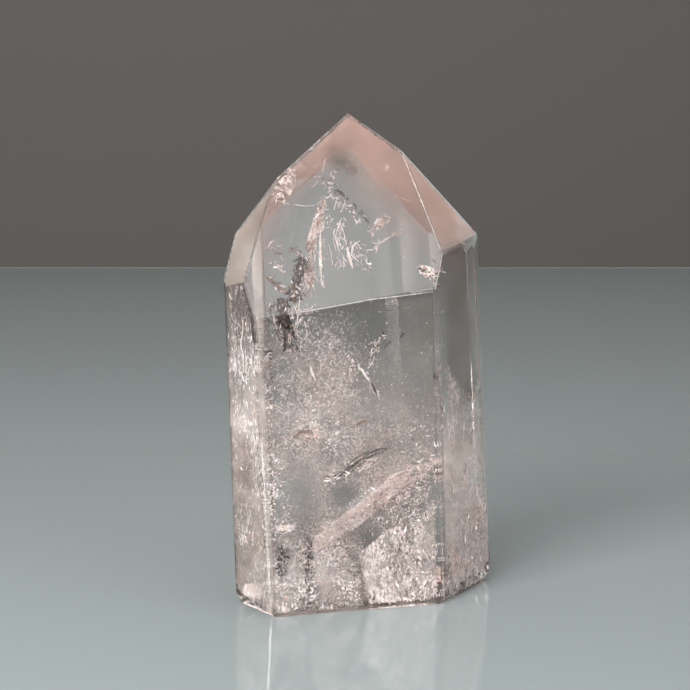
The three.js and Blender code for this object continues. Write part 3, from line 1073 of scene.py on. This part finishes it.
# shares of white, rosy, brown, black and glinting slivers
WHITES = (6, 3, 0.5, 0, 0.8)
CREAMS = (2, 5, 2, 0.5, 0.3)
BROWNS = (0.5, 2, 5, 1.5, 0.1)
BLACKS = (0.5, 0.5, 1.2, 8, 0)
BUNDLES = [
    # the copper patch on the left border of the point
    Bundle([(294, 166, 3, 0.5), (288, 180, 8, 0.5), (277, 198, 8, 0.5)], 94, (2, 7), 50, CREAMS),
    # the dark smudge under the tip
    Bundle([(327, 153, 6, 1.3), (340, 161, 9, 1.3), (356, 172, 5, 1.3)], 420, (0.7, 2.0), 60,
        (0, 0, 2, 5, 0), (0.2, 0.5)),
    # small chips down from the smudge
    Bundle([(332, 169, 2, 5), (333, 177, 3, 5), (335, 184, 2, 5)], 14, (2, 5), 30, CREAMS),
    Bundle([(322, 178, 2, 6), (327, 187, 4, 6), (333, 199, 3, 6)], 33, (2, 6), 40, WHITES),
    # white curls in the middle of the point
    Bundle([(336, 196, 3, 7), (341, 212, 4, 7), (340, 228, 3, 7)], 30, (2, 7), 30, WHITES),
    Bundle([(344, 204, 3, 7), (353, 213, 5, 7), (360, 222, 3, 7)], 28, (2, 6), 40, WHITES),
    # dark chips between them
    Bundle([(334, 190, 3, 6), (341, 194, 3, 6), (347, 199, 3, 6)], 24, (1.5, 4), 40, BLACKS),
    Bundle([(352, 203, 2, 6), (362, 214, 3, 6), (370, 223, 3, 6)], 20, (1.5, 4), 40, BLACKS),
    # the feather, its bright right edge and its barbs
    Bundle([(325, 194, 2, 8), (319, 215, 5, 8), (312, 240, 7, 8), (309, 262, 6, 7), (312, 290, 5, 6.5)],
        143, (3, 11), 22, CREAMS),
    Bundle([(323, 205, 2, 7.5), (322, 235, 3, 7.5), (321, 265, 3, 7.5), (322, 287, 2, 7)], 38, (3, 9), 14,
        WHITES, (0.2, 0.55)),
    Bundle([(313, 232, 4, 7), (322, 226, 5, 7), (331, 218, 4, 7)], 28, (2, 6), 40, WHITES),
    # the upright strands right of the feather
    Bundle([(337, 224, 5, 7), (341, 245, 8, 7), (344, 268, 6, 7)], 60, (3, 9), 16, WHITES, (0.15, 0.42)),
    Bundle([(352, 238, 6, 7), (358, 252, 9, 7), (366, 268, 6, 7)], 56, (2, 8), 30, WHITES, (0.15, 0.42)),
    # the pink wisp and its white line
    Bundle([(391, 214, 3, 6), (381, 222, 6, 6), (371, 232, 4, 6)], 33, (3, 8), 25, CREAMS),
    Bundle([(404, 231, 2, 6), (388, 238, 4, 6), (373, 249, 3, 6)], 22, (3, 9), 15, WHITES),
    # the broken lower part of the feather, brown and black
    Bundle([(288, 247, 3, 5), (297, 252, 5, 5), (304, 262, 4, 5)], 33, (3, 9), 30, BROWNS),
    Bundle([(303, 256, 4, 5), (299, 276, 6, 5), (293, 300, 6, 4)], 200, (3, 10), 26, BLACKS, (0.4, 1.4)),
    Bundle([(308, 262, 3, 5), (303, 280, 4, 5), (299, 297, 3, 4.5)], 28, (3, 9), 25, CREAMS),
    # the dark cluster below it, and the white strands beside it
    Bundle([(282, 297, 5, 3), (283, 315, 7, 2.5), (290, 346, 7, 2.5)], 260, (3, 12), 20, BLACKS,
        (0.4, 1.5)),
    Bundle([(304, 304, 8, 4), (306, 322, 10, 4), (301, 342, 8, 4)], 64, (2, 9), 60, WHITES, (0.15, 0.45)),
    Bundle([(318, 330, 14, 4), (332, 345, 18, 4), (322, 366, 14, 4)], 90, (2, 7), 70, (5, 4, 2, 1, 0.6),
        (0.15, 0.4)),
    Bundle([(270, 295, 4, 2.5), (273, 315, 5, 2.5), (279, 340, 4, 2.5)], 38, (3, 9), 14, BROWNS),
    Bundle([(292, 300, 6, 4), (293, 322, 8, 3.5), (293, 345, 6, 3.5)], 33, (3, 10), 14, WHITES),
    # chips at the left border of the point
    Bundle([(266, 243, 3, 3), (274, 248, 4, 3), (283, 255, 3, 3)], 22, (2, 7), 40, BROWNS),
    Bundle([(268, 262, 3, 3), (276, 266, 5, 3), (284, 271, 3, 3)], 22, (2, 6), 40, WHITES),
    Bundle([(264, 275, 3, 3), (274, 282, 4, 3), (284, 291, 3, 3)], 22, (3, 9), 20, BROWNS),
    # the star-shaped chip at the right border of the point
    Bundle([(414, 267, 2, 0.8), (428, 273, 6, 0.8), (442, 270, 2, 0.8)], 34, (2, 8), 35, CREAMS,
        (0.3, 0.9)),
    Bundle([(424, 264, 2, 0.8), (430, 275, 3, 0.8), (438, 286, 2, 0.8)], 18, (2, 6), 25, CREAMS,
        (0.3, 0.9)),
    # loose crumples in the upper body
    Bundle([(384, 333, 3, 3), (377, 345, 5, 3), (368, 367, 3, 3)], 38, (2, 7), 30, WHITES),
    Bundle([(350, 354, 4, 3), (352, 370, 6, 3), (350, 388, 4, 3)], 38, (2, 7), 30, BROWNS),
    Bundle([(357, 363, 2, 3), (366, 376, 3, 3), (378, 394, 2, 2.6)], 22, (3, 9), 12, WHITES),
    Bundle([(265, 349, 3, 1.5), (270, 356, 4, 1.5), (268, 384, 4, 1.5)], 28, (2, 6), 40, BROWNS),
    Bundle([(293, 348, 3, 2.5), (298, 352, 4, 2.5), (301, 360, 3, 2.5)], 16, (2, 6), 40, BROWNS),
    # the brown crack and the white crumples under it
    Bundle([(394, 446, 1.5, 2.5), (372, 452, 3, 2.5), (352, 464, 4, 2.5), (325, 476, 2, 2.5)], 20, (4, 12),
        9, (1, 1, 5, 2, 0.2), (0.2, 0.4)),
    Bundle([(380, 458, 3, 2.4), (352, 472, 4, 2.4), (322, 480, 4, 2.4)], 44, (3, 9), 20, WHITES),
    # the feathery band, its two ends and its branch
    Bundle([(440, 458, 6, 2.6), (400, 480, 9, 2.6), (360, 512, 9, 2.4), (325, 538, 8, 2.2),
        (298, 557, 7, 2.0)], 560, (2, 10), 26, (2.5, 8, 0.7, 0, 0.3)),
    Bundle([(440, 470, 10, 2.6), (418, 486, 12, 2.6), (392, 500, 9, 2.5)], 120, (2, 7), 50, CREAMS),
    Bundle([(345, 545, 9, 2.4), (318, 556, 9, 2.2), (296, 566, 8, 2.0)], 110, (2, 7), 50, CREAMS),
    Bundle([(385, 498, 4, 3), (352, 525, 6, 2.8), (336, 532, 4, 2.8)], 50, (3, 8), 25, CREAMS),
    # the chip left of the band
    Bundle([(274, 531, 3, 2), (286, 529, 4, 2), (297, 526, 3, 2)], 14, (2, 6), 12, CREAMS),
    # dark streaks at the lower left
    Bundle([(281, 543, 6, 1.5), (281, 560, 7, 1.5), (281, 578, 6, 1.5)], 170, (1.5, 5), 20, BLACKS,
        (0.3, 0.9)),
    Bundle([(308, 537, 3, 1.5), (309, 565, 5, 1.5), (309, 602, 5, 1.5)], 170, (1.5, 6), 14, BLACKS,
        (0.3, 0.9)),
    # crumples along the foot
    Bundle([(278, 600, 6, 2), (325, 602, 8, 2), (360, 600, 8, 2)], 66, (2, 7), 60, (4, 5, 3, 0.5, 1)),
    Bundle([(290, 562, 16, 2), (325, 582, 28, 2), (352, 600, 16, 2)], 110, (1.5, 5), 60, (5, 5, 1, 0.4, 1),
        (0.2, 0.5)),
    Bundle([(283, 588, 5, 2), (290, 592, 5, 2), (296, 590, 4, 2)], 22, (1.5, 5), 50, BROWNS),
    # the grain of the foil
    Bundle([(414, 506, 22, 2.6), (402, 545, 37, 2.6), (406, 585, 36, 2.6), (408, 612, 32, 2.2)], 520,
        (1.5, 5.5), 22, (10, 5, 2.4, 2.2, 3.2), (0.25, 0.75)),
    # painted highlights behind the right facet: bright spots of white slivers
    Bundle([(475, 488, 5, 1.2), (476, 502, 7, 1.2), (474, 516, 5, 1.2)], 90, (2, 8), 14, WHITES),
    Bundle([(484, 508, 5, 1), (483, 528, 7, 1), (480, 548, 5, 1)], 110, (2, 8), 16, WHITES),
    Bundle([(472, 548, 6, 1.3), (478, 560, 8, 1.3), (474, 576, 6, 1.3)], 90, (2, 7), 25, WHITES),
    # streaks of the right and left sides
    Bundle([(455, 388, 7, 1.5), (457, 440, 11, 1.5), (458, 590, 12, 1.5)], 90, (3, 10), 14,
        (8, 5, 0.6, 0, 1.2)),
    Bundle([(438, 360, 1.5, 1.2), (440, 395, 3, 1.2), (443, 432, 3, 1.2)], 33, (3, 10), 8, CREAMS),
    Bundle([(234, 290, 7, 1), (238, 400, 12, 1), (248, 600, 14, 1)], 26, (3, 12), 9, (4, 6, 1, 0.4, 0.4)),
    Bundle([(250, 318, 3, 0.8), (253, 350, 4, 0.8), (262, 600, 4, 0.8)], 30, (3, 12), 4,
        (4, 5, 2, 0.6, 0.5)),
    Bundle([(236, 284, 8, 1), (240, 305, 10, 1), (244, 332, 8, 1)], 12, (3, 9), 12, BROWNS),
    # dark corners of the foot
    Bundle([(242, 600, 5, 0.8), (250, 603, 5, 0.8), (262, 608, 4, 0.8)], 50, (1.5, 5), 30, BLACKS),
    Bundle([(444, 597, 4, 0.8), (460, 588, 5, 0.8), (480, 574, 3, 0.8)], 70, (1.5, 5), 30, BLACKS),
    # single slivers in the body
    Bundle([(300, 384, 35, 3), (330, 410, 40, 3), (300, 440, 35, 3)], 88, (1.5, 6), 60, (6, 3, 1.5, 1, 3)),
    Bundle([(420, 420, 16, 3), (410, 450, 25, 3), (425, 520, 16, 3)], 77, (1.5, 6), 60, (6, 3, 1, 0.6, 3)),
]

# painted highlights: bright lines just behind the borders of the large front facets, for the light on their
# polished edges
PAINTED_EDGE_HIGHLIGHTS = [
    thread([(286, 314.5), (330, 307), (370, 299.5), (405, 295.5), (433, 291.5)], 0.22, 0.3, 0.0, 0.0),
    thread([(403, 155), (409, 170), (421, 200), (433, 230), (440, 249)], 0.22, 0.14, 0.0, 0.0),
    thread([(442, 255), (439, 272), (435, 290)], 0.22, 0.25, 0.0, 0.0),
]

# bright rims of cracks
WHITE_THREADS = [
    # from the copper patch
    thread([(271, 198), (280, 201), (290, 204)], 2.0, 0.5, 0.9, 0.2),
    thread([(294, 205), (301, 206), (315, 205)], 2.5, 0.35, 0.8),
    # in the point
    thread([(325, 150), (326, 158), (322, 172)], 5),
    thread([(314, 177), (321, 176)], 6),
    thread([(312, 187), (318, 181)], 6),
    thread([(334, 210), (337, 198)], 7),
    thread([(341, 212), (346, 196)], 7),
    # the bright edge of the feather
    thread([(321, 228), (320, 245), (320, 262), (322, 285)], 7.5, 1.1),
    # the upright strands
    thread([(342, 225), (346, 245)], 7),
    thread([(333, 232), (336, 240), (339, 252)], 7),
    thread([(347, 247), (349, 256), (353, 268)], 7, 1.8),
    thread([(360, 240), (353, 246), (352, 255), (359, 262)], 7),
    thread([(364, 258), (371, 269)], 7),
    thread([(329, 245), (333, 265)], 7, 0.6),
    # the wisp, and a dot right of it
    thread([(374, 248), (388, 238), (402, 233)], 6, 0.7),
    thread([(404, 256), (404, 258)], 2, 1.0),
    # left of the feather and round the dark cluster
    thread([(267, 250), (270, 243), (274, 241)], 3),
    thread([(287, 303), (287, 308)], 4, 1.0),
    thread([(290, 325), (290, 328)], 4, 1.0),
    thread([(300, 300), (298, 312), (296, 325)], 4),
    # in the body
    thread([(310, 365), (312, 372), (315, 380)], 3, 1.2),
    thread([(358, 365), (365, 374), (370, 382)], 3, 1.2),
    # on the left side
    thread([(243, 320), (241, 345), (244, 370)], 1, 0.4, 1.0),
    # left of the band
    thread([(275, 533), (283, 528), (296, 526)], 2),
    # at the left border of the body
    thread([(264, 360), (270, 352)], 1.5),
    # on the right side
    thread([(452, 400), (454, 440), (457, 500)], 1.5, 0.4, 1.5),
    thread([(463, 420), (462, 470), (466, 520)], 1.5, 0.4, 1.5),
]

# cracks that mirror no light
DARK_CRACKS = [
    # left of the feather
    thread([(275, 254), (282, 254)], 3, 1.4),
    thread([(273, 283), (282, 283)], 3, 1.0),
    # the strands of the brown crack
    thread([(391, 447), (379, 449), (368, 454), (356, 463), (345, 470), (333, 476), (325, 476)], 2.5, 0.45,
        1.2, 0.2),
    thread([(387, 449), (374, 455), (362, 460), (352, 468), (340, 477), (331, 479)], 2.6, 0.5, 1.2, 0.2),
    thread([(380, 449), (366, 452), (357, 457), (350, 463), (344, 471), (346, 478)], 2.6, 0.4, 1.0, 0.2),
    thread([(372, 457), (360, 465), (351, 473), (341, 480)], 2.7, 0.4, 1.0, 0.2),
    # in the body and its clear corner
    thread([(370, 382), (374, 388), (377, 393)], 2.5, 2.0),
    thread([(384, 348), (391, 341)], 2.0, 1.6),
    thread([(380, 336), (384, 331)], 2.0, 1.4),
    thread([(400, 338), (404, 333)], 2.0, 1.4),
    # left of the dark cluster
    thread([(272, 342), (275, 336)], 2, 0.9),
    thread([(277, 342), (281, 336)], 2, 0.9),
    # in the middle of the point
    thread([(334, 190), (340, 192), (345, 196)], 6, 1.4),
    thread([(353, 203), (357, 206)], 6, 1.4),
    thread([(363, 217), (369, 222)], 6, 1.4),
    # on the left side
    thread([(252, 320), (253, 335), (255, 348)], 0.8, 1.1),
    thread([(243, 272), (247, 282)], 0.8, 1.0),
    # left of the band
    thread([(281, 532), (286, 531)], 2, 1.2),
    # in the upper left of the body
    thread([(293, 350), (299, 348), (300, 356), (294, 358)], 2.5, 1.0),
    thread([(264, 352), (271, 350), (271, 360)], 1.5, 1.0),
    thread([(268, 372), (273, 376), (269, 381)], 1.5, 1.0),
]

# iron stains
RUSTY_CRACKS = [
    thread([(265, 276), (275, 284), (283, 290)], 3, 1.5),
    thread([(291, 330), (291, 340)], 3.5, 1.0),
    thread([(293, 438), (303, 431), (312, 434)], 2, 1.5),
    thread([(353, 428), (360, 422), (367, 421)], 2, 1.4),
    thread([(438, 366), (440, 395), (442, 425)], 1.2, 0.35),
    thread([(313, 240), (309, 252)], 7, 1.5),
]

# gaps that take on the colours of light
BLUE_FLASHES = [
    thread([(338, 255), (339, 264)], 6.5, 1.0),
    thread([(366, 370), (368, 378)], 3, 1.0),
    thread([(322, 340), (324, 352)], 4, 0.9),
]


# Operators

class QUARTZ_OT_stage(bpy.types.Operator):
    """Adds the floor, the wall, the lights and the camera"""
    bl_idname = "quartz.stage"
    bl_label = "Stage"

    def execute(self, context):
        settings = context.scene.quartz_stage
        add_stage(settings)
        add_lights(settings)
        add_camera()
        set_light_paths()
        return {"FINISHED"}


class QUARTZ_OT_stone(bpy.types.Operator):
    """Gives the crystal its clear, faintly pink stone"""
    bl_idname = "quartz.stone"
    bl_label = "Clear stone"

    def execute(self, context):
        STONE.data.materials.clear()
        STONE.data.materials.append(polished_quartz())
        return {"FINISHED"}


class QUARTZ_OT_films(bpy.types.Operator):
    """Lays the milky films of healed cracks, the rosy, pale and smoky hazes and a painted shade into the
    stone
    """
    bl_idname = "quartz.films"
    bl_label = "Films"

    def execute(self, context):
        finishes = {
            "milky": milky_film(), "streaky": streaky_film(), "rosy": rosy_haze(), "pale": pale_haze(),
            # the smoky finish serves smoky stone and the painted shade behind the body
            "smoky": smoky_haze_and_painted_shade(),
        }
        for name, finish, seed, film in SHEETS:
            lay = film_piece if name.startswith("film") else haze_piece
            lay(name, film, finishes[finish], seed)
        return {"FINISHED"}


class QUARTZ_OT_veils(bpy.types.Operator):
    """Fills the lower part of the stone with the flecks of healed cracks"""
    bl_idname = "quartz.veils"
    bl_label = "Healed cracks"

    def execute(self, context):
        amount = context.scene.quartz_veils.amount
        finishes = [milky_fluid(), rosy_fluid(), smoky_specks(), glinting_specks()]
        fleck_piece("veils_body", BODY_VEILS, amount, 10, finishes)
        fleck_piece("veils_left", LEFT_VEILS, amount, 20, finishes)
        fleck_piece("veils_right", RIGHT_VEILS, amount, 30, finishes)
        fleck_piece("loose_specks", SPECKS, amount, 40, finishes)
        return {"FINISHED"}


class QUARTZ_OT_cracks(bpy.types.Operator):
    """Adds the bright and dark open cracks, and the painted highlights along the facet edges"""
    bl_idname = "quartz.cracks"
    bl_label = "Open cracks"

    def execute(self, context):
        copper = copper_crack()
        foil = foil_crack()
        for number, film in enumerate(FOILS_AND_HIGHLIGHTS, 1):
            film_piece(f"foil_{number}", film, foil, 90 + number, HAZE_CELL)
        crack_piece("feathery_band", BAND, feathery_crack(), 105)
        crack_piece("copper_patch", COPPER_PATCH, copper, 205)
        crack_piece("feather", FEATHER, copper, 305)
        slivers = [white_thread_and_highlight(), rosy_fluid(), rusty_crack(), dark_crack(), glinting_specks()]
        bundle_piece("crumpled_cracks", BUNDLES, slivers, 405)
        crack_piece("white_threads", WHITE_THREADS, white_thread_and_highlight(), 505)
        # painted highlights of the polished facet edges, laid as white threads
        crack_piece("painted_edge_highlights", PAINTED_EDGE_HIGHLIGHTS, white_thread_and_highlight(), 905)
        crack_piece("dark_cracks", DARK_CRACKS, dark_crack(), 655)
        crack_piece("rusty_cracks", RUSTY_CRACKS, rusty_crack(), 705)
        crack_piece("blue_flashes", BLUE_FLASHES, blue_flash(), 805)
        return {"FINISHED"}


class QUARTZ_PT_panel(bpy.types.Panel):
    """Lists the steps that make the quartz tower"""
    bl_label = "Quartz tower"
    bl_idname = "QUARTZ_PT_panel"
    bl_space_type = "VIEW_3D"
    bl_region_type = "UI"
    bl_category = "Quartz tower"

    def draw(self, context):
        for step in STEPS:
            self.layout.operator(step.bl_idname)
        self.layout.prop(context.scene.quartz_veils, "amount")


STEPS = [QUARTZ_OT_stage, QUARTZ_OT_stone, QUARTZ_OT_films, QUARTZ_OT_veils, QUARTZ_OT_cracks]
CLASSES = [StageSettings, VeilSettings, *STEPS, QUARTZ_PT_panel]


def register():
    for cls in CLASSES:
        bpy.utils.register_class(cls)
    bpy.types.Scene.quartz_stage = bpy.props.PointerProperty(type=StageSettings)
    bpy.types.Scene.quartz_veils = bpy.props.PointerProperty(type=VeilSettings)


def unregister():
    del bpy.types.Scene.quartz_stage
    del bpy.types.Scene.quartz_veils
    for cls in reversed(CLASSES):
        bpy.utils.unregister_class(cls)


def main():
    register()
    bpy.ops.quartz.stage()
    bpy.ops.quartz.stone()
    bpy.ops.quartz.films()
    bpy.ops.quartz.veils()
    bpy.ops.quartz.cracks()


if __name__ == "__main__":
    main()
